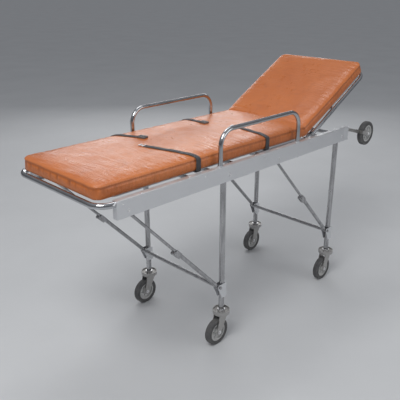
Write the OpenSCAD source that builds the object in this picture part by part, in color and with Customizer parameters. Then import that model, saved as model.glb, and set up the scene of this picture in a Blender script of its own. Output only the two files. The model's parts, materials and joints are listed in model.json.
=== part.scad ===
// Self-loading stretcher trolley: a padded bed with a lifting backrest on two pairs of
// folding legs, each braced by knee-jointed stays and standing on swivel casters.
// +X points to the head end, +Y to the patient's right-hand side, +Z up, floor at z = 0.

/* [Bed] */
// Half of the overall length
half_length = 886; // [876:1:896]
// Foot end of the side rails
rail_x0 = -814; // [-820:1:-805]
// Head end of the side rails
rail_x1 = 626; // [620:1:632]
// Underside of the side rails
rail_z0 = 777; // [772:1:777]
// Top of the side rails
rail_z1 = 845; // [845:1:846]
// Outer face of the side rails, from the middle
rail_y1 = 285; // [285:1:287]
// Width of the rail flanges
rail_flange = 22.8; // [22.4:0.1:23]
// Thickness of the rail sheet
rail_t = 2.2; // [1.8:0.1:2.2]

/* [Mattress] */
// Half of the mattress width, along the seat and at the hinge
pad_y = 238; // [230:1:238]
// Half of the mattress width, on the upper part of the backrest
back_pad_y = 250; // [244:1:252]
// Top of the mattress at its edges
pad_edge_z = 898; // [895:1:900]
// Top of the mattress in the middle
pad_top_z = 908; // [906:1:912]
// Foot end of the mattress
pad_x0 = -872; // [-874:1:-866]
// Corner radius of the mattress, seen from above
pad_corner = 38; // [34:1:45]

/* [Backrest] */
// Angle of the raised backrest
back_angle = 28.5; // [0:0.5:40]
// Hinge axis along the bed
hinge_x = 322; // [320:1:326]
// Hinge axis height
hinge_z = 831; // [830:0.5:832]
// Head end of the back cushion with the backrest flat
back_x1 = 862; // [850:1:864]
// Steepest angle of the backrest
back_max = 70; // [60:1:70]

/* [Legs] */
// Leg positions along the bed: foot pair, head pair
leg_x = [-256, 578];
// Leg planes, from the middle
leg_y = 248.5; // [248:0.1:248.6]
// Height of the leg pivots
pivot_z = 803; // [800:1:804]
// Leg tube radius
leg_r = 12.5; // [11:0.1:12.5]

/* [Stays] */
// Offset of the stay's lower pin behind the leg axis
stay_back = 25; // [24:1:28]
// Height of the stay's lower pin
stay_z = 287; // [280:1:295]
// Distance of the stay's upper anchor behind the leg axis
anchor_back = 510; // [505:1:515]
// Height of the stay's upper anchor
anchor_z = 800; // [798:1:802]
// Length of the upper rod, from the anchor to the knee
knee_at = 348; // [346:1:349]
// Offset of the knee pin from the stay's axis
knee_off = 10; // [9:0.5:11]
// Lower stay tube radius
stay_r = 8.5; // [8:0.1:9.5]
// Upper stay rod radius
rod_r = 6; // [5:0.1:6]

/* [Wheels] */
// Wheel radius
wheel_r = 62.5; // [60:0.5:63]
// Half of the tyre width
tyre_half = 14; // [12:0.5:15]
// Caster trail
trail = 30; // [26:1:34]
// Load wheel height
load_z = 773; // [771:1:775]
// Load wheel planes, from the middle
load_y = 274.5; // [274:0.5:275]

/* [Hidden] */
FOOT = 0;
HEAD = 1;
NEAR = -1;
FAR = 1;
steel = "silver";
zinc = "gainsboro";
vinyl = "chocolate";
web_grey = "dimgray";
fit = 0.05;                       // radial clearance of every running fit
rail_y0 = rail_y1 - rail_flange;  // inner edge of the flanges
web_y = rail_y1 - rail_t;         // inner face of the rail's web
loop_r = 11;                      // foot loop tube
loop_z = 831.5;
loop_y = web_y - loop_r - 0.8;
loop_bend = 60;
bar_r = 9;                        // bed crossbars
bar_z = 832;
seat_bars = [-456, -340, -206, -36];
bar_wall = 1.5;                   // wall of every crossbar
panel_t = 3;
panel_z = rail_z1 - panel_t;      // underside of the base panel
// crossbars under the raised backrest: x, z and radius
low_bars = [[465, 812, 8], [606, 800, 9]];
frame_r = 10;                     // backrest frame tube
frame_y = 251.1;
frame_bend = 74;
frame_x1 = back_x1 + 8;
frame_bar_x = 560;                // crossbar of the backrest frame
frame_bar_r = 8;
frame_x0 = hinge_x + 45;          // lower ends of the frame's side tubes
frame_plug = 35;                  // solid length at those ends
wide_x0 = 420;                    // where the back cushion widens
side_bar_y = 233;                 // inner face of the hinge side bars
side_bar_z = [819, 839];
hinge_plate_y = [236.4, 240.8];   // plates that join the side tubes to the hinge pins
hinge_plate_len = 75;
hinge_pin_r = 5;
guard_r = 9.5;
guard_x = [-301, 209];
guard_y = rail_y1 - 12;
guard_z = 989;
guard_bend = 66;
guard_foot_z = 775;               // lower ends of the guard rail posts
flange_screws = [-700, -470, -90, 60, 360, 520];
web_screws = [-790, -396, -36, 300, 604];
pin_r = 4;                        // stay pins
bolt_r = 6;                       // leg pivot bolts, caster stems and axles
bracket_t = 2.5;
bracket_z = [231, 299];
crown_z = 140;                    // underside of the caster fork's crown
cup_z = [146, 160, 164];          // caster cup: underside, floor and rim
cup_r = 38;
leg_z0 = 166;                     // lower ends of the leg tubes
fork_half = 16.5;                 // inner face of every wheel fork
fork_t = 3;
hub_r = 44;
arm_r = 8;                        // load wheel arm
arm_z = 824;
arm_x0 = 500;
arm_bend_x = 642;
arm_bend_r = 30;
load_x = half_length - wheel_r;
arm_drop = atan2(arm_z - load_z, load_x - arm_bend_x);
arm_tangent = arm_bend_r * tan(arm_drop / 2);
yoke_r = 70;                      // from the load wheel's axis to the middle of its yoke
cheek_r = 11;                     // load wheel cheeks: radius at the axle
cheek_half = 9;                   // and half of their depth at the yoke
strap_w = 25;
strap_t = 2;
// rest shape of a stay, seen from the side, in the plane of its leg
stay_run = [anchor_back - stay_back, anchor_z - stay_z];
stay_len = norm(stay_run);
stay_tilt = atan2(stay_run[1], stay_run[0]);

// ---- general shapes ----

// lies a shape drawn along +Z down along +Y
module along_y() rotate([-90, 0, 0]) children();
// lies a shape drawn along +Z down along +X
module along_x() rotate([0, 90, 0]) children();
// a drawing in the XZ plane, thickened from y0 to y1
module plate_xz(y0, y1) translate([0, y1, 0]) rotate([90, 0, 0]) linear_extrude(y1 - y0) children();
// a round bar along Y between two planes
module y_bar(x, z, r, y0, y1) translate([x, y0, z]) along_y() cylinder(r = r, h = y1 - y0, $fn = 48);
module ring(r_out, r_in, h) difference() {
    cylinder(r = r_out, h = h, $fn = 48);
    translate([0, 0, -1]) cylinder(r = r_in, h = h + 2, $fn = 48);
}
module rounded_rect(x, y, r) {
    translate([r, 0]) square([x - 2 * r, y]);
    translate([0, r]) square([x, y - 2 * r]);
    for (cx = [r, x - r], cy = [r, y - r]) translate([cx, cy]) circle(r = r, $fn = 32);
}
// a U of round bar in the XY plane: its bridge at x = 0, its arms running to -X
module u_bar(r, half, bend, arm) {
    translate([0, bend - half, 0]) along_y() cylinder(r = r, h = 2 * (half - bend), $fn = 40);
    for (s = [-1, 1]) {
        translate([-bend, s * (half - bend), 0]) rotate([0, 0, s > 0 ? 0 : -90])
            rotate_extrude(angle = 90, $fn = 96) translate([bend, 0]) circle(r = r, $fn = 40);
        translate([-arm, s * half, 0]) along_x() cylinder(r = r, h = arm - bend, $fn = 40);
    }
}
module u_tube(r, wall, half, bend, arm) difference() {
    u_bar(r, half, bend, arm);
    u_bar(r - wall, half, bend, arm + 1);
}
module button_head(r, h) {
    cylinder(r = r, h = h * 0.5, $fn = 24);
    cylinder(r1 = r, r2 = r * 0.6, h = h, $fn = 24);
}
module hex_head(r, h) cylinder(r = r, h = h, $fn = 6);
// places a shape on both sides of the bed, its +Z pointing away from the middle
module on_both_sides(x, y, z) for (s = [-1, 1]) translate([x, s * y, z]) rotate([-90 * s, 0, 0]) children();

// ---- bed frame ----

module rail_section() difference() {
    union() {
        translate([0, 3]) square([rail_flange, rail_z1 - rail_z0 - 6]);
        square([rail_flange - 3, rail_z1 - rail_z0]);
        for (z = [3, rail_z1 - rail_z0 - 3]) translate([rail_flange - 3, z]) circle(r = 3, $fn = 32);
    }
    translate([-1, rail_t]) square([rail_flange - rail_t + 1, rail_z1 - rail_z0 - 2 * rail_t]);
}
module side_rail(s) color(zinc) difference() {
    mirror([0, s < 0 ? 1 : 0, 0]) translate([rail_x0, rail_y0, rail_z0])
        rotate([90, 0, 90]) linear_extrude(rail_x1 - rail_x0) rail_section();
    for (x = guard_x) translate([x, s * guard_y, rail_z0 - 1])
        cylinder(r = guard_r + fit, h = rail_z1 - rail_z0 + 2, $fn = 48);
    for (x = leg_x) y_bar(x, pivot_z, bolt_r, s > 0 ? 270 : -290, s > 0 ? 290 : -270);
    for (x = leg_x) y_bar(x - anchor_back, anchor_z, 5, s > 0 ? 270 : -290, s > 0 ? 290 : -270);
}
module rail_end_plates() color(zinc) for (s = [-1, 1]) {
    difference() {
        translate([rail_x0 - 2.5, s > 0 ? rail_y0 : -rail_y1, rail_z0])
            cube([2.5, rail_flange, rail_z1 - rail_z0]);
        translate([rail_x0 - 5, s * loop_y, loop_z]) along_x() cylinder(r = loop_r, h = 8, $fn = 40);
    }
    difference() {
        translate([rail_x1, s > 0 ? rail_y0 : -rail_y1, rail_z0]) cube([2.5, rail_flange, rail_z1 - rail_z0]);
        translate([rail_x1 - 3, s * load_y, arm_z]) along_x() cylinder(r = arm_r, h = 8, $fn = 40);
    }
}
module foot_loop() color(steel) translate([loop_r - half_length, 0, loop_z]) mirror([1, 0, 0])
    u_tube(loop_r, 1.5, loop_y, loop_bend, 215);
module crossbar(x, z, r) difference() {
    y_bar(x, z, r, -web_y, web_y);
    y_bar(x, z, r - bar_wall, -web_y - 1, web_y + 1);
}
module bed_crossbars() color(steel) {
    for (x = seat_bars) crossbar(x, bar_z, bar_r);
    for (b = low_bars) crossbar(b[0], b[1], b[2]);
}
module bed_base_panel() color(zinc) translate([-800, -237, panel_z])
    linear_extrude(panel_t) difference() {
        rounded_rect(1100, 474, 20);
        for (x = [180, 540, 900]) translate([x, 237]) circle(r = 20, $fn = 40);
    }
// flat bars from the last seat crossbar to the backrest hinge
module hinge_side_bars() color(zinc) for (s = [-1, 1]) difference() {
    plate_xz(s > 0 ? side_bar_y : -side_bar_y - 3, s > 0 ? side_bar_y + 3 : -side_bar_y)
        union() {
            translate([seat_bars[3], side_bar_z[0]])
                square([hinge_x - seat_bars[3], side_bar_z[1] - side_bar_z[0]]);
            translate([hinge_x, side_bar_z[1] - 10]) circle(r = 10, $fn = 40);
            translate([seat_bars[3] - 13, side_bar_z[0]]) square([26, panel_z - side_bar_z[0] - 0.2]);
        }
    y_bar(seat_bars[3], bar_z, bar_r, -300, 300);
    y_bar(hinge_x, hinge_z, hinge_pin_r + fit, -300, 300);
}
// toothed discs fixed to the side bars
module ratchet_discs() color(steel) for (s = [-1, 1]) difference() {
    plate_xz(s > 0 ? side_bar_y - 4 : -side_bar_y, s > 0 ? side_bar_y : -side_bar_y + 4)
        translate([hinge_x, hinge_z]) difference() {
            circle(r = 9.5, $fn = 48);
            for (a = [0:30:330]) rotate(a) translate([9.5, 0]) circle(r = 1.2, $fn = 16);
        }
    y_bar(hinge_x, hinge_z, hinge_pin_r + fit, -300, 300);
}
module leg_pivot_bolts() color(steel) for (x = leg_x) on_both_sides(x, 0, pivot_z) {
    translate([0, 0, 229]) cylinder(r = bolt_r, h = rail_y1 - 229, $fn = 48);
    translate([0, 0, rail_y1]) button_head(8, 4);
    translate([0, 0, 225]) hex_head(9, 9);
}
module leg_pivot_spacers() color(zinc) for (x = leg_x)
    on_both_sides(x, leg_y + leg_r + 0.2, pivot_z) ring(10, bolt_r, web_y - leg_y - leg_r - 0.2);
module stay_anchor_bolts() color(steel) for (x = leg_x) on_both_sides(x - anchor_back, 0, anchor_z) {
    translate([0, 0, 256]) cylinder(r = 9, h = web_y - 256, $fn = 48);
    translate([0, 0, web_y]) cylinder(r = 5, h = rail_t, $fn = 48);
    translate([0, 0, rail_y1]) button_head(6, 3);
}
module guard_rail_sockets() color(zinc) for (x = guard_x, s = [-1, 1]) translate([x, s * guard_y, rail_z1])
    difference() {
        union() {
            cylinder(r = 14, h = 1.6, $fn = 48);
            cylinder(r = 12, h = 5, $fn = 48);
        }
        translate([0, 0, -1]) cylinder(r = guard_r + fit, h = 8, $fn = 48);
    }
// small screws along the rails: on the top flange and on the outer face
module rail_bolts() color(steel) {
    for (x = flange_screws, s = [-1, 1])
        translate([x, s * (rail_y1 - 9), rail_z1]) button_head(4, 2.2);
    for (x = web_screws) on_both_sides(x, rail_y1, rail_z1 - 16) button_head(3, 2);
}
module load_arm(s) translate([0, s * load_y, 0]) {
    translate([arm_x0, 0, arm_z]) along_x()
        cylinder(r = arm_r, h = arm_bend_x - arm_tangent - arm_x0, $fn = 40);
    translate([arm_bend_x - arm_tangent, 0, arm_z - arm_bend_r]) rotate([-90, 0, 0]) rotate([0, 0, -90])
        rotate_extrude(angle = arm_drop, $fn = 96) translate([arm_bend_r, 0]) circle(r = arm_r, $fn = 40);
    // the rest is drawn with the arm along +X from the wheel's axis
    translate([load_x, 0, load_z]) rotate([0, arm_drop, 0]) mirror([1, 0, 0]) {
        translate([yoke_r, 0, 0]) along_x() cylinder(r = arm_r,
            h = norm([load_x - arm_bend_x, arm_z - load_z]) - arm_tangent - yoke_r, $fn = 40);
        translate([yoke_r - 4, -fork_half - fork_t, -cheek_half])
            cube([6, 2 * (fork_half + fork_t), 2 * cheek_half]);
        for (t = [-1, 1]) difference() {
            plate_xz(t > 0 ? fork_half : -fork_half - fork_t, t > 0 ? fork_half + fork_t : -fork_half) {
                circle(r = cheek_r, $fn = 40);
                polygon([[0, cheek_r - 0.2], [yoke_r - 18, cheek_half], [yoke_r + 2, cheek_half],
                         [yoke_r + 2, -cheek_half], [yoke_r - 18, -cheek_half], [0, 0.2 - cheek_r]]);
            }
            y_bar(0, 0, bolt_r, -40, 40);
        }
    }
}
module load_wheel_forks() color(zinc) for (s = [-1, 1]) load_arm(s);
module axle_bolt() {
    y_bar(0, 0, bolt_r, -fork_half - fork_t, fork_half + fork_t);
    for (s = [-1, 1]) translate([0, s * (fork_half + fork_t), 0]) rotate([-90 * s, 0, 0]) {
        cylinder(r = 9, h = 1.2, $fn = 32);
        hex_head(7.5, 4.5);
    }
}
module load_wheel_axles() color(steel) for (s = [-1, 1]) translate([load_x, s * load_y, load_z]) axle_bolt();

// ---- wheels, drawn about the origin with their axle along Y ----

module hub() color("lightgray") difference() {
    rotate([90, 0, 0]) rotate_extrude($fn = 96) {
        translate([bolt_r + fit, -fork_half + 1.2]) square([9, 2 * fork_half - 2.4]);
        translate([14, -4]) square([24, 8]);
        translate([36, -11]) square([hub_r - 36, 22]);
    }
    for (a = [0:60:300]) rotate([0, a, 0]) translate([25.5, 0, 0]) y_bar(0, 0, 6.5, -20, 20);
}
module tyre() color("dimgray") rotate([90, 0, 0]) rotate_extrude($fn = 128) difference() {
    union() {
        translate([hub_r, -tyre_half]) square([wheel_r - hub_r - 7, 2 * tyre_half]);
        translate([hub_r, 7 - tyre_half]) square([wheel_r - hub_r, 2 * tyre_half - 14]);
        for (s = [-1, 1]) translate([wheel_r - 7, s * (tyre_half - 7)]) circle(r = 7, $fn = 40);
    }
    for (s = [-1, 1]) translate([50, s * tyre_half]) circle(r = 1.5, $fn = 20);
}

// ---- casters ----

module at_caster(pair, side) translate([leg_x[pair], side * leg_y, 0]) children();
module caster_fork(pair, side) color(zinc) at_caster(pair, side) difference() {
    union() {
        // neck, cup with its rim, and crown
        translate([0, 0, crown_z]) cylinder(r = 26, h = cup_z[0] - crown_z, $fn = 64);
        translate([0, 0, cup_z[0]]) cylinder(r = cup_r, h = cup_z[1] - cup_z[0], $fn = 64);
        translate([0, 0, cup_z[1]]) ring(cup_r, cup_r - 3, cup_z[2] - cup_z[1]);
        translate([-28, -fork_half - fork_t, crown_z]) cube([48, 2 * (fork_half + fork_t), 4]);
        for (t = [-1, 1]) plate_xz(t > 0 ? fork_half : -fork_half - fork_t,
                                   t > 0 ? fork_half + fork_t : -fork_half) {
            translate([-trail, wheel_r]) circle(r = 14, $fn = 40);
            polygon([[-trail - 12.8, wheel_r + 3], [-28, crown_z + 2], [20, crown_z + 2],
                     [18, crown_z - 8], [-trail + 13, wheel_r - 4.5]]);
        }
    }
    translate([0, 0, crown_z - 1]) cylinder(r = bolt_r + fit, h = 40, $fn = 48);
    translate([-trail, 0, wheel_r]) y_bar(0, 0, bolt_r, -40, 40);
}
module caster_axle(pair, side) color(steel) at_caster(pair, side) translate([-trail, 0, wheel_r]) axle_bolt();
module caster_hub(pair, side) at_caster(pair, side) translate([-trail, 0, wheel_r]) hub();
module caster_tyre(pair, side) at_caster(pair, side) translate([-trail, 0, wheel_r]) tyre();
// stem, thrust collar and the plug that holds them in the leg
module caster_stems(pair) color(steel) for (s = [-1, 1]) at_caster(pair, s) {
    translate([0, 0, crown_z - 3.3]) cylinder(r = 9, h = 3, $fn = 40);
    translate([0, 0, crown_z - 0.3]) cylinder(r = bolt_r, h = 30, $fn = 48);
    translate([0, 0, cup_z[1] + 0.8]) cylinder(r = 17, h = leg_z0 - cup_z[1] - 0.8, $fn = 48);
    translate([0, 0, leg_z0]) cylinder(r = leg_r - 2, h = 50, $fn = 48);
}

// ---- legs ----

module legs(pair) color(steel) for (s = [-1, 1]) translate([leg_x[pair], s * leg_y, 0]) difference() {
    translate([0, 0, leg_z0]) cylinder(r = leg_r, h = pivot_z + 11 - leg_z0, $fn = 48);
    translate([0, 0, leg_z0 - 1]) cylinder(r = leg_r - 2, h = pivot_z - leg_z0 - 19, $fn = 48);
    y_bar(0, pivot_z, bolt_r + fit, -20, 20);
}
// folded plates that wrap each leg and hold the stay's lower pin
module leg_brackets(pair) color(zinc) for (s = [-1, 1]) translate([leg_x[pair], s * leg_y, 0]) {
    for (t = [-1, 1]) difference() {
        plate_xz(t > 0 ? leg_r : -leg_r - bracket_t, t > 0 ? leg_r + bracket_t : -leg_r) {
            translate([-leg_r, bracket_z[0]])
                square([2 * leg_r + bracket_t, bracket_z[1] - bracket_z[0]]);
            translate([-stay_back, stay_z]) circle(r = 12, $fn = 40);
            polygon([[-leg_r, bracket_z[0]], [-stay_back - 9, stay_z - 8], [-stay_back, stay_z + 12],
                     [-leg_r, bracket_z[1]]]);
        }
        y_bar(-stay_back, stay_z, pin_r, -40, 40);
    }
    translate([leg_r, -leg_r, bracket_z[0]]) cube([bracket_t, 2 * leg_r, bracket_z[1] - bracket_z[0]]);
}
module leg_crossbar(pair) color(steel) translate([leg_x[pair] - stay_back, 0, stay_z]) {
    y_bar(0, 0, 8.5, -leg_y + leg_r + bracket_t, leg_y - leg_r - bracket_t);
    y_bar(0, 0, pin_r, -leg_y - leg_r - bracket_t, leg_y + leg_r + bracket_t);
    on_both_sides(0, leg_y + leg_r + bracket_t, 0) hex_head(7.5, 5);
}

// ---- stays ----

// the stay's own frame: origin at the anchor, +X down the stay towards its lower pin
module on_stay(pair, s) translate([leg_x[pair] - anchor_back, s * leg_y, anchor_z])
    rotate([0, stay_tilt, 0]) children();
module stay_upper_one() difference() {
    union() {
        y_bar(0, 0, 9, -6, 6);
        translate([6, 0, 0]) along_x() cylinder(r = rod_r, h = knee_at - 15, $fn = 40);
        // tongue that turns on the knee pin
        plate_xz(-5, 5) translate([knee_at - 11, -knee_off]) square([11, knee_off + rod_r]);
        plate_xz(-5, 5) translate([knee_at, -knee_off]) circle(r = 7.5, $fn = 40);
    }
    y_bar(knee_at, -knee_off, pin_r + fit, -20, 20);
}
module stays_upper(pair) color(steel) for (s = [-1, 1]) on_stay(pair, s) stay_upper_one();
module stay_lower_one() {
    difference() {
        union() {
            y_bar(stay_len, 0, 10, -8, 8);
            translate([knee_at + 22, 0, 0]) along_x()
                cylinder(r = stay_r, h = stay_len - knee_at - 28, $fn = 40);
            // square knee block with two cheeks
            translate([knee_at + 12, -9.5, -knee_off - 6]) cube([24, 19, knee_off + 6 + stay_r]);
            for (t = [-1, 1]) plate_xz(t > 0 ? 5.6 : -9.5, t > 0 ? 9.5 : -5.6) {
                translate([knee_at, -knee_off]) circle(r = 8, $fn = 40);
                translate([knee_at, -knee_off - 6]) square([20, knee_off + 6 + stay_r]);
            }
        }
        y_bar(stay_len, 0, pin_r + fit, -20, 20);
        y_bar(knee_at, -knee_off, pin_r, -20, 20);
    }
    y_bar(knee_at, -knee_off, pin_r, -9.5, 9.5);
    for (s = [-1, 1]) translate([knee_at, s * 9.5, -knee_off]) rotate([-90 * s, 0, 0]) button_head(6, 2.2);
}
module stays_lower(pair) color(steel) for (s = [-1, 1]) on_stay(pair, s) stay_lower_one();

// ---- backrest, drawn flat and raised about its hinge ----

module raised() translate([hinge_x, 0, hinge_z]) rotate([0, -back_angle, 0])
    translate([-hinge_x, 0, -hinge_z]) children();
module backrest_frame() color(steel) raised() {
    difference() {
        union() {
            translate([frame_x1, 0, hinge_z]) u_bar(frame_r, frame_y, frame_bend, frame_x1 - frame_x0);
            y_bar(frame_bar_x, hinge_z, frame_bar_r, -frame_y, frame_y);
        }
        translate([frame_x1, 0, hinge_z])
            u_bar(frame_r - 1.5, frame_y, frame_bend, frame_x1 - frame_x0 - frame_plug);
        y_bar(frame_bar_x, hinge_z, frame_bar_r - 1.5, -frame_y, frame_y);
    }
    for (s = [-1, 1]) {
        difference() {
            plate_xz(s > 0 ? hinge_plate_y[0] : -hinge_plate_y[1],
                     s > 0 ? hinge_plate_y[1] : -hinge_plate_y[0]) {
                translate([hinge_x, hinge_z]) circle(r = 10, $fn = 40);
                translate([hinge_x, hinge_z - 7]) square([hinge_plate_len, 14]);
            }
            y_bar(hinge_x, hinge_z, hinge_pin_r, -300, 300);
        }
        // spacer block between the plate and the side tube
        translate([frame_x0 + 2, s > 0 ? hinge_plate_y[0] + 0.6 : -frame_y + 5.8, hinge_z - 6])
            cube([hinge_x + hinge_plate_len - frame_x0 - 2, frame_y - 5.8 - hinge_plate_y[0] - 0.6, 12]);
    }
}
module backrest_panel() color(zinc) raised() translate([345, -232, hinge_z + frame_r])
    linear_extrude(panel_t) difference() {
        rounded_rect(495, 464, 40);
        for (y = [92, 232, 372]) translate([130, y]) circle(r = 18, $fn = 40);
    }
// headed hinge pins, fixed in the frame's hinge plates
module hinge_pins() color(steel) raised() on_both_sides(hinge_x, 0, hinge_z) {
    translate([0, 0, 225]) cylinder(r = hinge_pin_r, h = hinge_plate_y[1] - 225, $fn = 40);
    translate([0, 0, 224]) cylinder(r = 8, h = 4.6, $fn = 40);
}

// ---- soft parts ----

// a cushion seen from above, lifted to its two levels
module cushion_body(x0, x1, z0, half) {
    translate([x0, -half, z0]) linear_extrude(pad_edge_z - z0)
        rounded_rect(x1 - x0, 2 * half, pad_corner);
    translate([x0 + 14, 14 - half, pad_edge_z]) linear_extrude(pad_top_z - 2 - pad_edge_z)
        rounded_rect(x1 - x0 - 28, 2 * half - 28, pad_corner - 14);
}
// everything on one side of a plane through the hinge that leans by the given angle
module hinge_cut(lean) translate([hinge_x, 0, hinge_z]) rotate([0, lean, 0])
    translate([-4000, -400, -2000]) cube([4000, 800, 4000]);
module mattress_seat() color(vinyl) intersection() {
    cushion_body(pad_x0, hinge_x + 200, rail_z1, pad_y);
    hinge_cut(-back_max / 2 - 0.5);
}
module mattress_back() color(vinyl) raised() difference() {
    for (w = [[hinge_x - 200, pad_y], [wide_x0, back_pad_y]])
        cushion_body(w[0], back_x1, hinge_z + frame_r + panel_t + 0.3, w[1]);
    hinge_cut(back_max / 2 + 0.5);
}
// half of a strap: across the top of the mattress, down its side and under the base panel
module strap_half(x_edge, x_in, y_in, s) {
    top_z = pad_top_z - 2;
    side_y = pad_y + 0.3;
    translate([0, 0, top_z + 0.3]) linear_extrude(strap_t) polygon([
        [x_edge - strap_w / 2, s * (side_y + strap_t)], [x_edge + strap_w / 2, s * (side_y + strap_t)],
        [x_in + strap_w / 2, s * y_in], [x_in - strap_w / 2, s * y_in]]);
    translate([x_edge - strap_w / 2, s > 0 ? side_y : -side_y - strap_t, panel_z - strap_t - 0.2])
        cube([strap_w, strap_t, top_z + 0.5 - panel_z + strap_t]);
    translate([x_edge - strap_w / 2, s > 0 ? 212 : -side_y - 1, panel_z - strap_t - 0.2])
        cube([strap_w, side_y + 1 - 212, strap_t]);
}
// each half: x at the mattress's edge, then x and y at the inner end
foot_near = [-398, -460, -4];
foot_far = [-431, -392, 117];
lap_near = [22, 35, -50];
lap_far = [-9, -10, 125];
buckle_len = 40;
module foot_strap() color(web_grey) {
    strap_half(foot_near[0], foot_near[1], -foot_near[2], NEAR);
    strap_half(foot_far[0], foot_far[1], foot_far[2], FAR);
}
module lap_strap() color(web_grey) {
    strap_half(lap_near[0], lap_near[1], -lap_near[2], NEAR);
    strap_half(lap_far[0], lap_far[1], lap_far[2], FAR);
}
// a slotted buckle body on each far half and a flat tongue on each near half
module strap_buckles() color("gray") for (p = [[foot_far, foot_near], [lap_far, lap_near]]) {
    translate([p[0][1] - 17, p[0][2] - buckle_len - 0.3, pad_top_z - 1.4]) difference() {
        linear_extrude(8) rounded_rect(34, buckle_len, 5);
        translate([5, -1, 2.4]) cube([24, 20, 3]);
    }
    translate([p[1][1] - 12, p[1][2] + 0.3, pad_top_z - 1.4]) linear_extrude(3) rounded_rect(24, 26, 4);
}

// ---- guard rails ----

module guard_rail(s) color(steel) translate([(guard_x[0] + guard_x[1]) / 2, s * guard_y, guard_z])
    rotate([0, 0, -90]) rotate([0, -90, 0])
        u_tube(guard_r, 1.5, (guard_x[1] - guard_x[0]) / 2, guard_bend, guard_z - guard_foot_z);

// ---- the assembly ----

side_rail(NEAR);  // side_rail_near
side_rail(FAR);  // side_rail_far
rail_end_plates();
foot_loop();
bed_crossbars();
bed_base_panel();
hinge_side_bars();
ratchet_discs();
mattress_seat();
foot_strap();
lap_strap();
strap_buckles();
leg_pivot_bolts();
leg_pivot_spacers();
stay_anchor_bolts();
guard_rail_sockets();
rail_bolts();
load_wheel_forks();
load_wheel_axles();
backrest_frame();
backrest_panel();
mattress_back();
hinge_pins();
guard_rail(NEAR);  // guard_rail_near
guard_rail(FAR);  // guard_rail_far
translate([load_x, -load_y, load_z]) hub();  // load_hub_near
translate([load_x, -load_y, load_z]) tyre();  // load_tyre_near
translate([load_x, load_y, load_z]) hub();  // load_hub_far
translate([load_x, load_y, load_z]) tyre();  // load_tyre_far
legs(FOOT);  // legs_foot
leg_brackets(FOOT);  // leg_brackets_foot
leg_crossbar(FOOT);  // leg_crossbar_foot
caster_stems(FOOT);  // caster_stems_foot
stays_lower(FOOT);  // stays_lower_foot
stays_upper(FOOT);  // stays_upper_foot
legs(HEAD);  // legs_head
leg_brackets(HEAD);  // leg_brackets_head
leg_crossbar(HEAD);  // leg_crossbar_head
caster_stems(HEAD);  // caster_stems_head
stays_lower(HEAD);  // stays_lower_head
stays_upper(HEAD);  // stays_upper_head
caster_fork(FOOT, NEAR);  // caster_fork_foot_near
caster_axle(FOOT, NEAR);  // caster_axle_foot_near
caster_hub(FOOT, NEAR);  // caster_hub_foot_near
caster_tyre(FOOT, NEAR);  // caster_tyre_foot_near
caster_fork(FOOT, FAR);  // caster_fork_foot_far
caster_axle(FOOT, FAR);  // caster_axle_foot_far
caster_hub(FOOT, FAR);  // caster_hub_foot_far
caster_tyre(FOOT, FAR);  // caster_tyre_foot_far
caster_fork(HEAD, NEAR);  // caster_fork_head_near
caster_axle(HEAD, NEAR);  // caster_axle_head_near
caster_hub(HEAD, NEAR);  // caster_hub_head_near
caster_tyre(HEAD, NEAR);  // caster_tyre_head_near
caster_fork(HEAD, FAR);  // caster_fork_head_far
caster_axle(HEAD, FAR);  // caster_axle_head_far
caster_hub(HEAD, FAR);  // caster_hub_head_far
caster_tyre(HEAD, FAR);  // caster_tyre_head_far
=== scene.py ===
import json
import math

import bmesh
import bpy
from mathutils import Matrix, Vector, noise
from mathutils.bvhtree import BVHTree


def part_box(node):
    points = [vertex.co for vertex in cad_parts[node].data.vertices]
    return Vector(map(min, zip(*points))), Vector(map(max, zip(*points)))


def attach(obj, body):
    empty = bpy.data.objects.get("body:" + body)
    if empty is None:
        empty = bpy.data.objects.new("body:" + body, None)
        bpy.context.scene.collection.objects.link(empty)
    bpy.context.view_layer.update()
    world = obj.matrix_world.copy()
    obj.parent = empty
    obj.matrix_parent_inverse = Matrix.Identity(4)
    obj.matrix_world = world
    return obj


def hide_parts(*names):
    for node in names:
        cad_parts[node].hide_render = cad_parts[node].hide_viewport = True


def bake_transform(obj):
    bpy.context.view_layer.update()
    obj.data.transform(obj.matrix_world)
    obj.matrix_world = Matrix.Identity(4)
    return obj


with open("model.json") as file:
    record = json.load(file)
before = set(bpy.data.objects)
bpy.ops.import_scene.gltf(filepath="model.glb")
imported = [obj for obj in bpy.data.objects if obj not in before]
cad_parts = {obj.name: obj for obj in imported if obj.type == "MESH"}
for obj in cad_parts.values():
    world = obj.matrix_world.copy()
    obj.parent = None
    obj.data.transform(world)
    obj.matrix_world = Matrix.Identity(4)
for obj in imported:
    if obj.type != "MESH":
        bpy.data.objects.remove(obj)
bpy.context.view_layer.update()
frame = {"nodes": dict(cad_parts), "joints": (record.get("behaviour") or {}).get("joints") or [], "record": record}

NODES = frame["nodes"]
RECORD = frame["record"]
MM = 0.001

# ---- places taken from the frame ----

SEAT_LO, SEAT_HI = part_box("mattress_seat")
JOINTS = {j["name"]: j for j in frame["joints"]}
HINGE = Vector(JOINTS["backrest_tilt"]["pos_m"])
REST_ANGLE = -math.radians(JOINTS["backrest_tilt"]["range_deg"][0])
PAD_HALF = SEAT_HI[1]
PAD_FOOT = SEAT_LO[0]
PAD_BOTTOM = SEAT_LO[2]
PAD_TOP = SEAT_HI[2] + 2 * MM
PAD_LIFT = 13.3 * MM          # underside of the back cushion above the hinge, lying flat


def back_length():
    """Distance of the back cushion's head end from the hinge, along the cushion."""
    lo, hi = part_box("mattress_back")
    return (hi[0] - HINGE.x + PAD_LIFT * math.sin(REST_ANGLE)) / math.cos(REST_ANGLE)


# ---- camera, floor and light ----

CAMERA_AT = (-1.826, -1.685, 1.527)
CAMERA_TURN = (68.4, 0.0, -45.0)
LENS = 50.0


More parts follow.
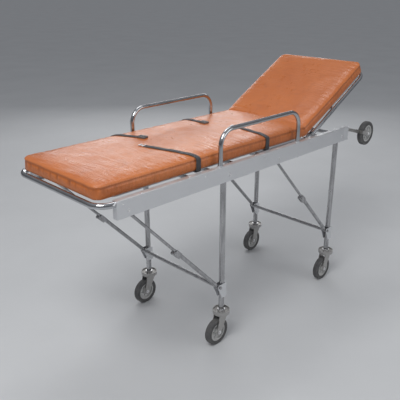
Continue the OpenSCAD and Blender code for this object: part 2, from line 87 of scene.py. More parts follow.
def make_camera():
    data = bpy.data.cameras.new("camera")
    data.lens = LENS
    data.sensor_width = 36.0
    data.clip_end = 260.0
    camera = bpy.data.objects.new("camera", data)
    camera.location = CAMERA_AT
    camera.rotation_euler = [math.radians(a) for a in CAMERA_TURN]
    bpy.context.scene.collection.objects.link(camera)
    bpy.context.scene.camera = camera


def area_light(name, at, aim, size, watts, colour=(1.0, 1.0, 1.0)):
    data = bpy.data.lights.new(name, "AREA")
    data.shape = "RECTANGLE"
    data.size, data.size_y = size
    data.energy = watts
    data.color = colour
    lamp = bpy.data.objects.new(name, data)
    lamp.location = at
    lamp.rotation_euler = (Vector(aim) - Vector(at)).to_track_quat("-Z", "Y").to_euler()
    bpy.context.scene.collection.objects.link(lamp)


def make_light():
    middle = (0.0, 0.0, 0.8)
    area_light("key", (-2.4, -0.9, 3.6), middle, (1.6, 1.6), 62)
    area_light("fill", (1.2, -3.6, 1.6), middle, (2.4, 1.2), 20)
    area_light("rim", (2.8, 3.2, 2.1), (0.0, 0.0, 0.9), (3.6, 1.0), 30)
    area_light("top", (0.4, 1.2, 4.2), middle, (2.4, 0.8), 24)
    world = bpy.data.worlds.new("world")
    world.use_nodes = True
    tree = world.node_tree
    background = tree.nodes["Background"]
    coord = tree.nodes.new("ShaderNodeTexCoord")
    split = tree.nodes.new("ShaderNodeSeparateXYZ")
    ramp = tree.nodes.new("ShaderNodeValToRGB")
    ramp.color_ramp.elements[0].position = 0.0
    ramp.color_ramp.elements[0].color = (0.20, 0.20, 0.21, 1)
    ramp.color_ramp.elements[1].position = 0.9
    ramp.color_ramp.elements[1].color = (0.62, 0.64, 0.68, 1)
    tree.links.new(coord.outputs["Generated"], split.inputs["Vector"])
    tree.links.new(split.outputs["Z"], ramp.inputs["Fac"])
    tree.links.new(ramp.outputs["Color"], background.inputs["Color"])
    background.inputs["Strength"].default_value = 0.5
    bpy.context.scene.world = world
    bpy.context.scene.view_settings.view_transform = "Standard"


def make_floor():
    mesh = bpy.data.meshes.new("floor")
    mesh.from_pydata([(-90, -90, 0), (90, -90, 0), (90, 90, 0), (-90, 90, 0)], [], [(0, 1, 2, 3)])
    floor = bpy.data.objects.new("floor", mesh)
    bpy.context.scene.collection.objects.link(floor)
    mesh.materials.append(floor_material())


# ---- material helpers ----

class Shade:
    """A principled material and short ways to add the nodes that drive it."""

    def __init__(self, name, colour, rough, metal=0.0):
        self.material = bpy.data.materials.new(name)
        self.material.use_nodes = True
        self.tree = self.material.node_tree
        self.bsdf = self.tree.nodes["Principled BSDF"]
        self.bsdf.inputs["Base Color"].default_value = (*colour, 1)
        self.bsdf.inputs["Roughness"].default_value = rough
        self.bsdf.inputs["Metallic"].default_value = metal
        self.coord = self.tree.nodes.new("ShaderNodeTexCoord")
        self.height = None

    def node(self, kind, **settings):
        made = self.tree.nodes.new(kind)
        for key, value in settings.items():
            setattr(made, key, value)
        return made

    def link(self, out, into):
        self.tree.links.new(out, into)
        return out

    def stretch(self, scale, uv=False):
        mapping = self.node("ShaderNodeMapping")
        mapping.inputs["Scale"].default_value = scale
        self.link(self.coord.outputs["UV" if uv else "Object"], mapping.inputs["Vector"])
        return mapping.outputs["Vector"]

    def noise(self, scale, detail=3.0, rough=0.55, stretch=None, warp=0.0):
        made = self.node("ShaderNodeTexNoise")
        made.inputs["Scale"].default_value = scale
        made.inputs["Detail"].default_value = detail
        made.inputs["Roughness"].default_value = rough
        made.inputs["Distortion"].default_value = warp
        self.link(self.stretch(stretch or (1, 1, 1)), made.inputs["Vector"])
        return made.outputs["Fac"]

    def cells(self, scale, stretch=None, feature="F1"):
        made = self.node("ShaderNodeTexVoronoi", feature=feature)
        made.inputs["Scale"].default_value = scale
        self.link(self.stretch(stretch or (1, 1, 1)), made.inputs["Vector"])
        return made.outputs["Distance"]

    def ramp(self, value, *stops):
        """stops are (place, colour or grey)"""
        made = self.node("ShaderNodeValToRGB")
        for i, (place, colour) in enumerate(stops):
            if i < 2:
                stop = made.color_ramp.elements[i]
                stop.position = place
            else:
                stop = made.color_ramp.elements.new(place)
            stop.color = (*colour, 1) if isinstance(colour, tuple) else (colour, colour, colour, 1)
        self.link(value, made.inputs["Fac"])
        return made.outputs["Color"]

    def mix(self, factor, a, b, mode="MIX"):
        made = self.node("ShaderNodeMix", data_type="RGBA", blend_type=mode)
        for value, name in ((factor, 0), (a, 6), (b, 7)):
            socket = made.inputs[name]
            if hasattr(value, "node"):
                self.link(value, socket)
            elif name == 0:
                socket.default_value = value
            else:
                socket.default_value = (*value, 1)
        return made.outputs[2]

    def edges(self, sharp=(0.47, 0.53)):
        """White where a surface turns convex: wear along edges, and on the sheet and the vinyl a painted highlight
        on rounded edges.
        """
        geometry = self.node("ShaderNodeNewGeometry")
        return self.ramp(geometry.outputs["Pointiness"], (sharp[0], 0.0), (sharp[1], 1.0))

    def colour(self, out):
        self.link(out, self.bsdf.inputs["Base Color"])

    def rough(self, out):
        self.link(out, self.bsdf.inputs["Roughness"])

    def bump(self, value, distance, strength=1.0):
        made = self.node("ShaderNodeBump")
        made.inputs["Distance"].default_value = distance
        made.inputs["Strength"].default_value = strength
        self.link(value, made.inputs["Height"])
        if self.height is not None:
            self.link(self.height, made.inputs["Normal"])
        self.height = made.outputs["Normal"]
        self.link(self.height, self.bsdf.inputs["Normal"])


def floor_material():
    s = Shade("floor", (0.70, 0.71, 0.72), 0.9)
    s.colour(s.ramp(s.noise(1.6, 4), (0.3, (0.68, 0.69, 0.70)), (0.7, (0.72, 0.73, 0.74))))
    s.bsdf.inputs["Specular IOR Level"].default_value = 0.1
    return s.material


def zinc_sheet(name):
    """Galvanised and rolled sheet: a soft spangle, faint rolling lines, and rounded edges painted brighter as a
    painted highlight.
    """
    s = Shade(name, (0.5, 0.5, 0.5), 0.4, 0.75)
    spangle = s.ramp(s.cells(70), (0.15, (0.24, 0.25, 0.27)), (0.8, (0.40, 0.41, 0.43)))
    clouds = s.ramp(s.noise(7, 5), (0.35, (0.80, 0.79, 0.78)), (0.72, (1.0, 1.0, 1.0)))
    base = s.mix(1.0, spangle, clouds, "MULTIPLY")
    stains = s.ramp(s.noise(16, 6, 0.7), (0.56, 0.0), (0.76, 0.5))
    base = s.mix(stains, base, (0.22, 0.20, 0.18))
    scratches = s.ramp(s.noise(26, 6, 0.75, stretch=(0.5, 5, 5)), (0.66, 0.0), (0.74, 0.5))
    base = s.mix(scratches, base, (0.66, 0.67, 0.69))
    # painted highlight: convex edges and rolled bends are painted lighter
    s.colour(s.mix(s.edges(), base, (0.74, 0.75, 0.77)))
    s.rough(s.ramp(s.noise(24, 4), (0.3, 0.34), (0.75, 0.56)))
    s.bump(s.noise(40, 3, stretch=(3, 60, 60)), 0.0004, 0.22)
    return s.material


def polished_tube(name):
    """Chromed tube: nearly a mirror, with pitting and darker patches."""
    colour = (0.58, 0.59, 0.61)
    s = Shade(name, colour, 0.12, 1.0)
    patch = s.ramp(s.noise(9, 5, 0.6), (0.38, colour), (0.75, tuple(c * 0.72 for c in colour)))
    pits = s.ramp(s.noise(190, 2, 0.5), (0.66, 0.0), (0.74, 0.5))
    s.colour(s.mix(pits, patch, (0.23, 0.17, 0.12)))
    s.rough(s.ramp(s.noise(30, 5), (0.35, 0.07), (0.8, 0.26)))
    s.bump(s.noise(140, 2), 0.0003, 0.08)
    return s.material


def drawn_tube(name):
    """Plain steel tube, drawn lengthwise, worn by handling, with a little rust bloom."""
    colour = (0.42, 0.42, 0.43)
    s = Shade(name, colour, 0.35, 0.9)
    streak = s.ramp(s.noise(24, 4, stretch=(4, 4, 0.4)), (0.3, tuple(c * 0.72 for c in colour)),
                    (0.75, tuple(min(1, c * 1.35) for c in colour)))
    rust = s.ramp(s.noise(38, 6, 0.72), (0.63, 0.0), (0.78, 0.6))
    s.colour(s.mix(rust, streak, (0.21, 0.12, 0.07)))
    s.rough(s.ramp(s.noise(45, 4), (0.3, 0.13), (0.8, 0.34)))
    s.bump(s.noise(120, 3), 0.0003, 0.15)
    return s.material


def zinc_fastener(name):
    s = Shade(name, (0.6, 0.6, 0.62), 0.3, 0.95)
    tone = s.ramp(s.noise(60, 4), (0.3, (0.36, 0.35, 0.34)), (0.75, (0.62, 0.62, 0.63)))
    s.colour(s.mix(s.edges(), tone, (0.85, 0.85, 0.86)))
    s.rough(s.ramp(s.noise(90, 3), (0.3, 0.22), (0.8, 0.45)))
    s.bump(s.noise(260, 2), 0.0002, 0.15)
    return s.material


def cast_zinc(name):
    """Dull plated castings: warm grey, rubbed bright on the edges, dirty in the pores."""
    colour = (0.22, 0.215, 0.205)
    s = Shade(name, colour, 0.45, 0.7)
    tone = s.ramp(s.noise(34, 5, 0.6), (0.3, tuple(c * 0.68 for c in colour)),
                  (0.72, tuple(c * 1.22 for c in colour)))
    dirt = s.ramp(s.noise(75, 6, 0.75), (0.62, 0.0), (0.76, 0.55))
    base = s.mix(dirt, tone, (0.13, 0.10, 0.08))
    s.colour(s.mix(s.edges(), base, (0.46, 0.45, 0.44)))
    s.rough(s.ramp(s.noise(70, 4), (0.3, 0.36), (0.8, 0.62)))
    s.bump(s.noise(230, 3), 0.0004, 0.25)
    return s.material


def hub_plastic(name):
    s = Shade(name, (0.36, 0.36, 0.35), 0.5)
    tone = s.ramp(s.noise(40, 5), (0.3, (0.27, 0.27, 0.26)), (0.75, (0.42, 0.42, 0.41)))
    dirt = s.ramp(s.noise(120, 5, 0.7), (0.6, 0.0), (0.78, 0.5))
    base = s.mix(dirt, tone, (0.17, 0.15, 0.13))
    s.colour(s.mix(s.edges(), base, (0.56, 0.56, 0.55)))
    s.rough(s.ramp(s.noise(80, 3), (0.3, 0.42), (0.8, 0.62)))
    s.bump(s.noise(300, 2), 0.0002, 0.2)
    return s.material


def tyre_rubber(name):
    """Grey-black rubber, dusty where it rolls."""
    s = Shade(name, (0.075, 0.075, 0.078), 0.7)
    tone = s.ramp(s.noise(26, 5), (0.3, (0.075, 0.075, 0.077)), (0.75, (0.150, 0.148, 0.146)))
    dust = s.ramp(s.noise(70, 6, 0.7), (0.52, 0.0), (0.8, 0.5))
    s.colour(s.mix(dust, tone, (0.24, 0.23, 0.21)))
    s.rough(s.ramp(s.noise(60, 3), (0.3, 0.55), (0.8, 0.82)))
    s.bump(s.noise(420, 2), 0.0004, 0.35)
    return s.material


def vinyl(name):
    """Orange coated fabric: fine leather grain, soft colour drift, small soiled patches, painted shade in its
    creases and a painted highlight on its rounded edges.
    """
    s = Shade(name, (0.60, 0.145, 0.045), 0.34)
    drift = s.ramp(s.noise(3.2, 4, 0.6), (0.3, (0.58, 0.150, 0.030)), (0.72, (0.74, 0.225, 0.058)))
    blotch = s.ramp(s.noise(13, 6, 0.68, warp=0.6), (0.50, 0.0), (0.76, 0.42))
    base = s.mix(blotch, drift, (0.38, 0.090, 0.03))
    specks = s.ramp(s.noise(120, 4, 0.7), (0.69, 0.0), (0.76, 0.5))
    base = s.mix(specks, base, (0.30, 0.09, 0.04))
    # painted shade from the mattress mesh: the hinge crease, the seam groove and the hollows of the gathers
    painted_shade = s.node("ShaderNodeAttribute", attribute_name="painted_shade")
    base = s.mix(painted_shade.outputs["Fac"], base, (0.12, 0.035, 0.02))
    # painted highlight: the convex rounded edges are painted a lighter orange
    s.colour(s.mix(s.edges(sharp=(0.50, 0.62)), base, (0.80, 0.30, 0.13)))
    s.rough(s.ramp(s.noise(17, 5, 0.62), (0.32, 0.24), (0.72, 0.46)))
    s.bump(s.cells(520, feature="SMOOTH_F1"), 0.0006, 0.28)
    s.bump(s.noise(38, 4, 0.6, warp=0.8), 0.0030, 0.22)
    s.bump(s.noise(30, 4, 0.62, stretch=(2.6, 0.40, 1), warp=0.5), 0.0045, 0.55)
    s.bsdf.inputs["Coat Weight"].default_value = 0.2
    s.bsdf.inputs["Coat Roughness"].default_value = 0.22
    s.bsdf.inputs["Specular IOR Level"].default_value = 0.5
    return s.material


def webbing(name):
    """Woven strap: ribs across, threads along, worn paler in patches. UVs run in millimetres."""
    colour = (0.055, 0.055, 0.060)
    s = Shade(name, colour, 0.75)
    ribs = s.node("ShaderNodeTexWave", wave_type="BANDS", bands_direction="Y")
    ribs.inputs["Scale"].default_value = 0.16
    ribs.inputs["Distortion"].default_value = 0.6
    s.link(s.coord.outputs["UV"], ribs.inputs["Vector"])
    threads = s.node("ShaderNodeTexWave", wave_type="BANDS", bands_direction="X")
    threads.inputs["Scale"].default_value = 0.22
    s.link(s.coord.outputs["UV"], threads.inputs["Vector"])
    weave = s.mix(0.5, ribs.outputs["Color"], threads.outputs["Color"], "MULTIPLY")
    tone = s.mix(weave, tuple(c * 0.45 for c in colour), tuple(c * 1.6 for c in colour))
    worn = s.ramp(s.noise(60, 5, 0.7), (0.5, 0.0), (0.8, 0.45))
    s.colour(s.mix(worn, tone, (0.20, 0.19, 0.18)))
    s.rough(s.ramp(s.noise(90, 3), (0.3, 0.62), (0.8, 0.9)))
    s.bump(weave, 0.0005, 0.6)
    s.bsdf.inputs["Sheen Weight"].default_value = 0.25
    return s.material


def buckle_plastic(name):
    colour = (0.035, 0.035, 0.038)
    s = Shade(name, colour, 0.4)
    tone = s.ramp(s.noise(80, 4), (0.3, tuple(c * 0.7 for c in colour)),
                  (0.75, tuple(c * 1.7 for c in colour)))
    s.colour(s.mix(s.edges(), tone, (0.16, 0.16, 0.16)))
    s.rough(s.ramp(s.noise(110, 3), (0.3, 0.28), (0.8, 0.5)))
    s.bump(s.noise(330, 2), 0.0002, 0.2)
    return s.material


MATERIALS = {
    "zinc_sheet": zinc_sheet("zinc_sheet"),
    "chrome_tube": polished_tube("chrome_tube"),
    "steel_tube": drawn_tube("steel_tube"),
    "zinc_fastener": zinc_fastener("zinc_fastener"),
    "cast_zinc": cast_zinc("cast_zinc"),
    "hub_grey": hub_plastic("hub_grey"),
    "tyre_rubber": tyre_rubber("tyre_rubber"),
    "vinyl": vinyl("vinyl"),
    "webbing": webbing("webbing"),
    "buckle": buckle_plastic("buckle"),
}


def dress_nodes():
    """Gives every CAD node the material of its slot."""
    slots = {row["node"]: row["material_slot"] for row in RECORD["subparts"]}
    for name, node in NODES.items():
        node.data.materials.clear()
        node.data.materials.append(MATERIALS[slots[name]])


# ---- mesh helpers ----

def new_object(name, mesh, material, body):
    made = bpy.data.objects.new(name, mesh)
    bpy.context.scene.collection.objects.link(made)
    mesh.materials.append(MATERIALS[material])
    if body:
        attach(made, body)
    return made


def smooth(mesh):
    mesh.polygons.foreach_set("use_smooth", [True] * len(mesh.polygons))


def apply_modifiers(obj):
    graph = bpy.context.evaluated_depsgraph_get()
    mesh = bpy.data.meshes.new_from_object(obj.evaluated_get(graph))
    obj.modifiers.clear()
    obj.data = mesh


def smoothstep(t):
    t = max(0.0, min(1.0, t))
    return t * t * (3 - 2 * t)


def bell(distance, width):
    return math.exp(-(distance / width) ** 2)


# ---- mattress ----

FOLD_HALF = 32 * MM           # half of the length over which the mattress bends
SWELL = 2.5 * MM              # how far the stuffing pushes the sides out
FILL_FRAMES = 8               # length of the cloth pass that fills the cover
FILL_CAP = 6 * MM             # the most that any point may move in it
COVER_STEP = 7.5 * MM         # size of the cover's faces before they are split
CORNER = 38 * MM
SEAT_HALF = PAD_HALF + 10 * MM
BACK_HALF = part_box("mattress_back")[1][1] + 1.5 * MM
EDGE_DROP = 9 * MM            # the pad's side stops this far below its crown
SEAM_DROP = 12 * MM           # the top seam, below that edge


def outline(x0, x1, half, radius, step=7 * MM):
    """Rounded rectangle as a list of points, anticlockwise."""
    points = []
    turns = max(4, int(radius * math.pi / 2 / step))
    for cx, cy, start in ((x1 - radius, half - radius, 0), (x0 + radius, half - radius, 90),
                          (x0 + radius, radius - half, 180), (x1 - radius, radius - half, 270)):
        for i in range(turns + 1):
            a = math.radians(start + 90 * i / turns)
            points.append((cx + radius * math.cos(a), cy + radius * math.sin(a)))
    return points


def edge_distance(x, y, x0, x1, half, radius):
    """How far a point is inside the rounded outline (negative outside)."""
    cx = max(x0 + radius - x, 0.0, x - (x1 - radius))
    cy = max(abs(y) - (half - radius), 0.0)
    if cx > 0 and cy > 0:
        return radius - math.hypot(cx, cy)
    return min(x - x0, x1 - x, half - abs(y))


def raw_pad(x0, x1, half, z0, z1):
    """The cover before it is filled: a prism, cut into even small faces."""
    mesh = bpy.data.meshes.new("mattress")
    build = bmesh.new()
    base = [build.verts.new((x, y, z0)) for x, y in outline(x0, x1, half, CORNER - SWELL)]
    bottom = build.faces.new(base)
    moved = bmesh.ops.extrude_face_region(build, geom=[bottom])["geom"]
    top = [v for v in moved if isinstance(v, bmesh.types.BMVert)]
    bmesh.ops.translate(build, vec=(0, 0, z1 - z0), verts=top)
    bmesh.ops.recalc_face_normals(build, faces=build.faces)
    build.to_mesh(mesh)
    build.free()
    pad = bpy.data.objects.new("mattress", mesh)
    bpy.context.scene.collection.objects.link(pad)
    remesh = pad.modifiers.new("remesh", "REMESH")
    remesh.mode = "VOXEL"
    remesh.voxel_size = COVER_STEP
    apply_modifiers(pad)
    return pad


def inflate(pad, cap):
    """Fills the cover by cloth simulation, with no point moving further than the cap."""
    before = [v.co.copy() for v in pad.data.vertices]
    cloth = pad.modifiers.new("cloth", "CLOTH")
    settings = cloth.settings
    settings.quality = 4
    settings.use_pressure = True
    settings.uniform_pressure_force = 1.0
    settings.effector_weights.gravity = 0.0
    settings.tension_stiffness = 40
    settings.compression_stiffness = 40
    settings.bending_stiffness = 3
    cloth.point_cache.frame_start = 1
    cloth.point_cache.frame_end = FILL_FRAMES
    for step in range(1, FILL_FRAMES + 1):
        bpy.context.scene.frame_set(step)
    graph = bpy.context.evaluated_depsgraph_get()
    mesh = pad.evaluated_get(graph).to_mesh()
    after = [v.co.copy() for v in mesh.vertices]
    pad.modifiers.clear()
    bpy.context.scene.frame_set(1)
    for vertex, old, new in zip(pad.data.vertices, before, after):
        move = new - old
        if move.length > cap:
            move *= cap / move.length
        vertex.co = old + move


def make_mattress():
    """One pad from foot to head: filled flat, given its seams and creases, then bent at the hinge."""
    head = HINGE.x + back_length()
    pad = raw_pad(PAD_FOOT + SWELL, head - SWELL, SEAT_HALF - SWELL,
                  PAD_BOTTOM + 1 * MM, PAD_TOP - EDGE_DROP)
    inflate(pad, FILL_CAP)
    split = pad.modifiers.new("split", "SUBSURF")
    split.levels = 1
    apply_modifiers(pad)
    finish_pad(pad, PAD_FOOT, head, SEAT_HALF)
    smooth(pad.data)
    pad.data.materials.clear()
    pad.data.materials.append(MATERIALS["vinyl"])
    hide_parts("mattress_seat", "mattress_back")
    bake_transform(pad)
    return pad


def bent(point):
    """Where a point of the flat mattress goes when the backrest is at its rest angle."""
    share = smoothstep((point.x - HINGE.x + FOLD_HALF) / (2 * FOLD_HALF))
    turn = Matrix.Rotation(-REST_ANGLE * share, 3, "Y")
    return turn @ (point - HINGE) + HINGE


def ridges(x, y, seed):
    """Sharp-topped folds: 1 on a fold's crest, 0 between folds."""
    return max(0.0, 1.0 - 3.2 * abs(noise.noise(Vector((x, y, seed)))))


def top_relief(x, y, inside, half):
    """Height to add to the top, and how much painted shade it gets there."""
    crown = smoothstep(inside / 0.16)
    lift = 3.6 * MM * crown
    lift += 1.8 * MM * noise.noise(Vector((x * 5, y * 7, 1.7))) * crown
    lift += 0.9 * MM * noise.noise(Vector((x * 16, y * 11, 4.1))) * smoothstep(inside / 0.03)
    # wrinkles across the pad, thick over the lap and towards both edges
    lap = 0.35 + 0.65 * bell(x - 0.10, 0.30)
    sides = 0.5 + 0.5 * smoothstep(abs(y) / half)
    patch = smoothstep(0.5 + 1.3 * noise.noise(Vector((x * 3.1, y * 4.3, 7.7))))
    drift = x + 0.03 * noise.noise(Vector((x * 6, y * 6, 3.3)))
    wrinkle = ridges(drift * 34, y * 3.6, 6.1) + 0.6 * ridges(drift * 55, y * 7, 1.4)
    lift += 1.7 * MM * wrinkle * patch * lap * sides
    edge_fold = ridges(drift * 48, y * 9, 2.6) * bell(inside - 0.020, 0.020)
    lift += 1.2 * MM * edge_fold
    # the crease at the hinge and the smaller ones beside it
    crease = HINGE.x - 12 * MM + 7 * MM * noise.noise(Vector((y * 6, 0, 8.8)))
    lift -= 3.2 * MM * bell(x - crease, 6 * MM)
    for k, offset in enumerate((-38 * MM, 30 * MM, 58 * MM)):
        wave = offset + 12 * MM * noise.noise(Vector((y * 5, k * 3.7, 2.2)))
        fade = smoothstep(abs(y) / half * 1.6 - 0.35)
        lift -= 1.6 * MM * bell(x - crease - wave, 6 * MM) * fade
    # the second value is painted shade, darkest in the crease at the hinge
    return lift, 0.5 * bell(x - crease, 7 * MM)


def side_relief(place, normal, inside, x0, x1, half):
    """How far to push the side out, and how much painted shade it gets there."""
    x, y, z = place
    edge_z = PAD_TOP - EDGE_DROP
    seam_z = edge_z - SEAM_DROP
    outer = 1.0 - smoothstep((inside - 4 * MM) / (14 * MM))
    groove = bell(z - seam_z, 3.4 * MM) * outer
    roll = bell(z - edge_z + 4 * MM, 5 * MM) * outer
    below = (seam_z - z) / (30 * MM)
    gather = 0.0
    if 0 < below < 1 and outer > 0:
        around = x if abs(y) > half - CORNER else y
        end_pull = 1.0 + 1.2 * bell(x - x0, 0.10) + 0.5 * bell(x - x1, 0.08)
        gather = 1.3 * MM * noise.noise(Vector((around * 85, z * 16, 0.5)))
        gather *= (1 - below) * smoothstep(below * 5) * end_pull
    side_wave = 1.8 * MM * noise.noise(Vector((x * 9, y * 9, z * 22 + 5))) * outer
    if abs(normal.z) > 0.7:
        side_wave = 0.0
    push = gather + side_wave + 1.0 * MM * roll - 2.4 * MM * groove
    # the second value is painted shade in the seam groove and in the hollows of the gathers
    return push, 0.38 * groove + 0.30 * max(0.0, -gather) / MM


def finish_pad(pad, x0, x1, half):
    """Crown, wrinkles, rolled edge, seam and gathers; then the bend at the hinge."""
    normals = [v.normal.copy() for v in pad.data.vertices]
    finished, painted_shade = [], []
    for vertex, normal in zip(pad.data.vertices, normals):
        place = vertex.co.copy()
        x, y, z = place
        inside = edge_distance(x, y, x0, x1, half, CORNER)
        lift, dark = top_relief(x, y, inside, half) if normal.z > 0.3 else (0.0, 0.0)
        push, side_dark = side_relief(place, normal, inside, x0, x1, half)
        place += Vector((normal.x, normal.y, 0)) * push
        place.z += lift
        widen = smoothstep((x - HINGE.x - 0.05) / 0.10)
        place.y *= 1.0 + (BACK_HALF / SEAT_HALF - 1.0) * widen
        # the underside stays flat
        if z < PAD_BOTTOM + 6 * MM:
            place.z = max(place.z, PAD_BOTTOM + 0.3 * MM)
        finished.extend(bent(place))
        painted_shade.append(min(1.0, dark + side_dark))
    pad.data.vertices.foreach_set("co", finished)
    # painted shade for the vinyl material, stored per point
    layer = pad.data.attributes.new("painted_shade", "FLOAT", "POINT")
    layer.data.foreach_set("value", painted_shade)
    pad.data.update()


# ---- straps ----

def surface_at(tree, x, y):
    hit = tree.ray_cast(Vector((x, y, 2.0)), Vector((0, 0, -1)))
    return hit[0].z if hit[0] is not None else PAD_TOP


def ribbon(name, points, across, width, thick, material, body):
    """A flat woven band along a path; 'across' gives the width direction at each point."""
    mesh = bpy.data.meshes.new(name)
    build = bmesh.new()
    uv_layer = build.loops.layers.uv.new("UVMap")
    profile = [(-0.5, 0.18), (-0.46, 0.5), (-0.2, 0.5), (0.2, 0.5), (0.46, 0.5), (0.5, 0.18),
               (0.5, -0.18), (0.46, -0.5), (0.2, -0.5), (-0.2, -0.5), (-0.46, -0.5), (-0.5, -0.18)]
    rows, lengths, total = [], [], 0.0
    for i, point in enumerate(points):
        ahead = points[min(i + 1, len(points) - 1)] - points[max(i - 1, 0)]
        side = across[i].normalized()
        up = side.cross(ahead).normalized()
        if i:
            total += (point - points[i - 1]).length
        lengths.append(total)
        rows.append([build.verts.new(point + side * (u * width) + up * (v * thick))
                     for u, v in profile])
    count = len(profile)
    for i in range(len(rows) - 1):
        for j in range(count):
            k = (j + 1) % count
            face = build.faces.new((rows[i][j], rows[i][k], rows[i + 1][k], rows[i + 1][j]))
            for loop, (u, row) in zip(face.loops, ((j, i), (j + 1, i), (j + 1, i + 1), (j, i + 1))):
                place = profile[u % count][0] if u < count else profile[0][0]
                loop[uv_layer].uv = (place * width / MM, lengths[row] / MM)
    build.faces.new(list(reversed(rows[0])))
    build.faces.new(rows[-1])
    bmesh.ops.recalc_face_normals(build, faces=build.faces)
    build.to_mesh(mesh)
    build.free()
    smooth(mesh)
    return new_object(name, mesh, material, body)


STRAP_WIDTH = 25 * MM
STRAP_THICK = 1.7 * MM
STRAP_LIFT = 1.3 * MM         # middle of the webbing above the cover
EDGE_INSET = 9 * MM           # where a strap starts to turn over the pad's edge
EDGE_TURN = 10.6 * MM         # radius of that turn
TUCK_TURN = 3 * MM            # radius of the turn under the base panel
TUCK_Y = 0.214                # where the strap ends under the panel
TOP_STEPS = 34


def strap_half(name, tree, edge_x, inner, side):
    """From the inner end over the top and the edge, down the side and under the base panel."""
    side_y = SEAT_HALF + 1.6 * MM
    turn_y = SEAT_HALF - EDGE_INSET
    tuck_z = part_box("bed_base_panel")[0][2] - 1.2 * MM
    start = Vector((inner[0], inner[1], 0))
    direction = (Vector((edge_x, side * SEAT_HALF, 0)) - start).normalized()
    flat_side = Vector((direction.y, -direction.x, 0))
    points, across = [], []
    for i in range(TOP_STEPS):
        t = i / (TOP_STEPS - 1)
        x = inner[0] + (edge_x - inner[0]) * t
        y = inner[1] + (side * turn_y - inner[1]) * t
        z = max(surface_at(tree, x + dx, y) for dx in (-9 * MM, 0, 9 * MM)) + STRAP_LIFT
        z += 1.2 * MM * math.sin(t * 9 + edge_x * 40) ** 2
        points.append(Vector((x, y, z)))
        across.append(flat_side)
    top_z = points[-1].z
    square = Vector((side if flat_side.x * side > 0 else -side, 0, 0))
    for i in range(1, 9):
        a = math.radians(90 * i / 8)
        points.append(Vector((edge_x, side * (turn_y + EDGE_TURN * math.sin(a)),
                              top_z - EDGE_TURN * (1 - math.cos(a)))))
        across.append(square.lerp(flat_side, 1 - i / 8))
    start_z = points[-1].z
    for i in range(1, 9):
        t = i / 8
        points.append(Vector((edge_x, side * side_y, start_z + (tuck_z + TUCK_TURN - start_z) * t)))
    for i in range(1, 6):
        a = math.radians(90 * i / 5)
        points.append(Vector((edge_x, side * (side_y - TUCK_TURN * math.sin(a)),
                              tuck_z + TUCK_TURN * (1 - math.sin(a)))))
    points.append(Vector((edge_x, side * TUCK_Y, tuck_z)))
    across += [across[-1]] * (len(points) - len(across))
    return ribbon(name, points, across, STRAP_WIDTH, STRAP_THICK, "webbing", "bed")


# where each half crosses the mattress edge, its inner end and its side of the bed
STRAPS = {
    "foot_strap_near": (-0.398, (-0.460, -0.004), -1),
    "foot_strap_far": (-0.431, (-0.392, 0.117), 1),
    "lap_strap_near": (0.022, (0.035, -0.050), -1),
    "lap_strap_far": (-0.009, (-0.010, 0.125), 1),
}
BUCKLE = (30 * MM, 40 * MM, 7.5 * MM)
TONGUE = (22 * MM, 26 * MM, 2.2 * MM)


def plate(build, size, place, radius, hole=None):
    """A rounded slab lying flat, its near end at the origin and its length along +Y.

    'hole' is a window's width, length and corner radius. Its outline and the slab's are joined
    point by point, as far as the shorter of the two goes.
    """
    width, length, thick = size
    x, y, z = place

    def around(wide, long, corner, middle_y):
        flat = outline(-wide / 2, wide / 2, long / 2, corner, step=radius / 4)
        return [(px + x, py + y + middle_y) for px, py in flat]

    def ring(points, level):
        return [build.verts.new((*point, level)) for point in points]

    outer = around(width, length, radius, length / 2)
    if hole is None:
        middle = Vector((x, y + length / 2))
        drawn_in = [Vector(p) + (middle - Vector(p)).normalized() * (thick * 0.25) for p in outer]
        rows = [ring(outer, z), ring(outer, z + thick * 0.75), ring(drawn_in, z + thick)]
        build.faces.new(list(reversed(rows[0])))
        build.faces.new(rows[-1])
        loops = [(rows[0], rows[1]), (rows[1], rows[2])]
    else:
        inner = around(*hole, length * 0.56)
        count = min(len(outer), len(inner))
        low_o, top_o = ring(outer[:count], z), ring(outer[:count], z + thick)
        low_i, top_i = ring(inner[:count], z), ring(inner[:count], z + thick)
        loops = [(low_o, top_o), (top_o, top_i), (top_i, low_i), (low_i, low_o)]
    for low, high in loops:
        for i in range(len(low)):
            k = (i + 1) % len(low)
            build.faces.new((low[i], low[k], high[k], high[i]))


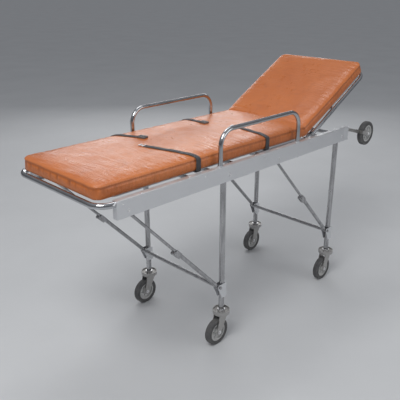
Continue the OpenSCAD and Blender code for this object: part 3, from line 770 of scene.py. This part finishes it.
def place_on_pad(name, build, tree, inner, towards, material, sink):
    """Turns a shape drawn along +Y to point away from its strap and sets it on the mattress."""
    mesh = bpy.data.meshes.new(name)
    bmesh.ops.recalc_face_normals(build, faces=build.faces)
    build.to_mesh(mesh)
    build.free()
    made = new_object(name, mesh, material, "bed")
    centre = Vector(inner) + towards * 20 * MM
    turn = Matrix.Rotation(math.atan2(-towards.x, towards.y), 4, "Z")
    ground = surface_at(tree, centre.x, centre.y)
    mesh.transform(Matrix.Translation((inner[0], inner[1], ground + sink)) @ turn)
    bevel = made.modifiers.new("bevel", "BEVEL")
    bevel.width = 0.5 * MM
    bevel.segments = 2
    bevel.limit_method = "ANGLE"
    apply_modifiers(made)
    smooth(made.data)
    made.data.set_sharp_from_angle(angle=math.radians(40))
    return made


def make_buckles(tree):
    """A push-button buckle on each far half and a flat metal tongue on each near half."""
    for name, (edge_x, inner, side) in STRAPS.items():
        towards = (Vector(inner) - Vector((edge_x, side * SEAT_HALF))).normalized()
        build = bmesh.new()
        if side > 0:
            plate(build, BUCKLE, (0, 0, 0), 5 * MM)
            plate(build, (14 * MM, 13 * MM, 2 * MM), (0, 20 * MM, BUCKLE[2] - 0.4 * MM), 3 * MM)
            plate(build, (24 * MM, 3 * MM, 1.4 * MM), (0, 5 * MM, BUCKLE[2] - 0.4 * MM), 1.2 * MM)
            plate(build, (24 * MM, 3 * MM, 1.4 * MM), (0, 10.5 * MM, BUCKLE[2] - 0.4 * MM), 1.2 * MM)
            place_on_pad(name.replace("strap_far", "buckle"), build, tree,
                                     inner, towards, "buckle", 0.3 * MM)
        else:
            plate(build, TONGUE, (0, 0, 0), 4 * MM, hole=(11 * MM, 9 * MM, 2.4 * MM))
            plate(build, (26 * MM, 5 * MM, 3.2 * MM), (0, -1 * MM, -0.3 * MM), 1.8 * MM)
            place_on_pad(name.replace("strap_near", "tongue"), build, tree,
                                     inner, towards, "zinc_fastener", 1.2 * MM)
    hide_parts("strap_buckles")


def make_straps(pad):
    tree = BVHTree.FromObject(pad, bpy.context.evaluated_depsgraph_get())
    made = {name: strap_half(name, tree, *facts) for name, facts in STRAPS.items()}
    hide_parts("foot_strap")
    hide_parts("lap_strap")
    make_buckles(tree)


# ---- make everything ----

make_camera()
make_light()
make_floor()
dress_nodes()
mattress = make_mattress()
make_straps(mattress)
